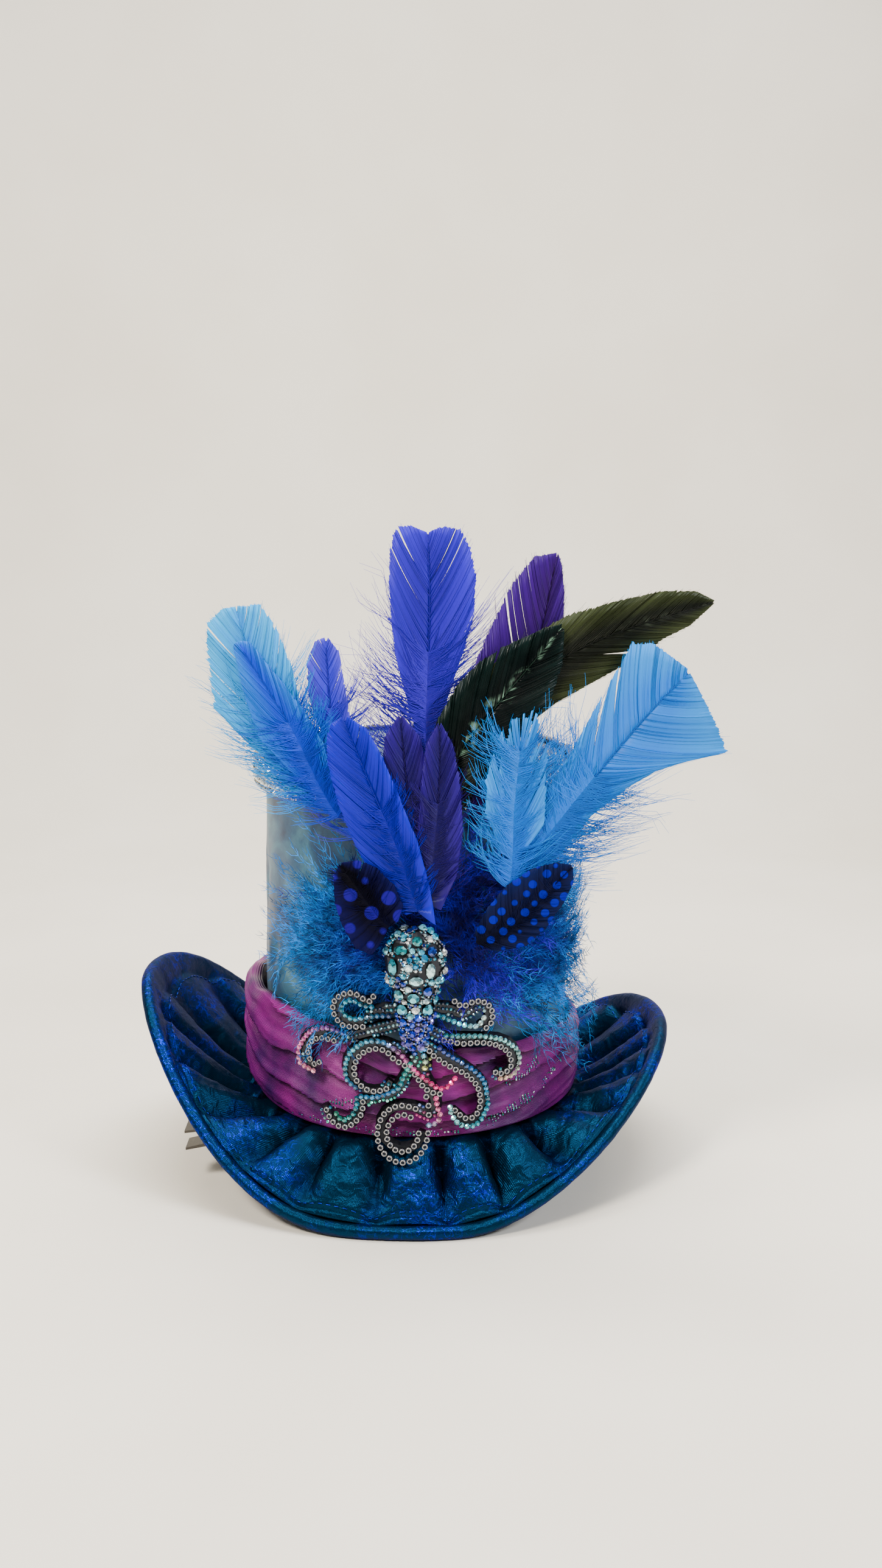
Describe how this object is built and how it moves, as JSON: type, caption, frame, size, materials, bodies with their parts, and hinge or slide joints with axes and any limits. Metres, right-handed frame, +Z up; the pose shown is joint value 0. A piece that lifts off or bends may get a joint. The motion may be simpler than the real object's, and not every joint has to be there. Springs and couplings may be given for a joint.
{
  "type": "fascinator",
  "caption": "Mini top hat fascinator with a gathered saddle brim, a fan of feathers, an octopus brooch and a hair clip.",
  "frame": {"origin": "On the axis of the crown, in the plane that the lowest points of the brim rest on.", "axes": "+Z up along the crown's axis, -Y the front with the brooch and the feathers, +X to the viewer's right."},
  "size_m": [0.1796, 0.138, 0.202],
  "materials": {
    "lame": "crinkled metallic lame, satin",
    "satin": "satin",
    "beads": "polished beads",
    "taffeta": "ribbed sheen",
    "violet_feather": "matte feather",
    "pale_feather": "matte feather",
    "purple_feather": "matte feather",
    "cyan_feather": "matte feather",
    "dark_feather": "glossy feather",
    "azure_feather": "matte feather",
    "indigo_feather": "matte feather",
    "turquoise_feather": "matte feather",
    "royal_feather": "matte feather",
    "spotted_feather": "matte feather",
    "pewter": "antique plated",
    "crystal": "cut and polished",
    "clip_steel": "plated"
  },
  "bodies": {
    "root": {"brim": "lame", "crown": "satin", "crown_tip": "satin", "crown_trim": "beads", "hat_band": "taffeta", "feather_tall_violet": "violet_feather", "feather_periwinkle": "pale_feather", "feather_purple": "purple_feather", "feather_pale_cyan": "cyan_feather", "feather_long_coque": "dark_feather", "feather_azure": "azure_feather", "feather_dark_teal": "dark_feather", "feather_indigo_left": "indigo_feather", "feather_turquoise_fan": "turquoise_feather", "feather_indigo_right": "indigo_feather", "feather_turquoise_tuft": "turquoise_feather", "feather_royal": "royal_feather", "feather_guinea_right": "spotted_feather", "feather_guinea_left": "spotted_feather", "marabou_left": "royal_feather", "marabou_indigo": "indigo_feather", "marabou_turquoise": "turquoise_feather", "octopus_setting": "pewter", "octopus_eye_left": "crystal", "octopus_eye_right": "crystal", "head_stone_left_pear": "crystal", "head_stone_right_pear": "crystal", "head_stone_oval": "crystal", "head_stone_low_left": "crystal", "head_stone_low_middle": "crystal", "head_stone_low_right": "crystal", "head_stone_upper_left": "crystal", "head_stone_upper_right": "crystal", "head_stone_crest": "crystal", "clip_base": "clip_steel"},
    "clip_jaw": {"clip_jaw": "clip_steel"}
  },
  "joints": [
    {"name": "clip_hinge", "type": "hinge", "parent": "root", "child": "clip_jaw", "pos_m": [-0.046, -0.028, 0.01635], "axis": [0, 1, 0], "range_deg": [0, 10], "stiffness_Nm_per_rad": 0.05, "springref_deg": -5.73}
  ]
}
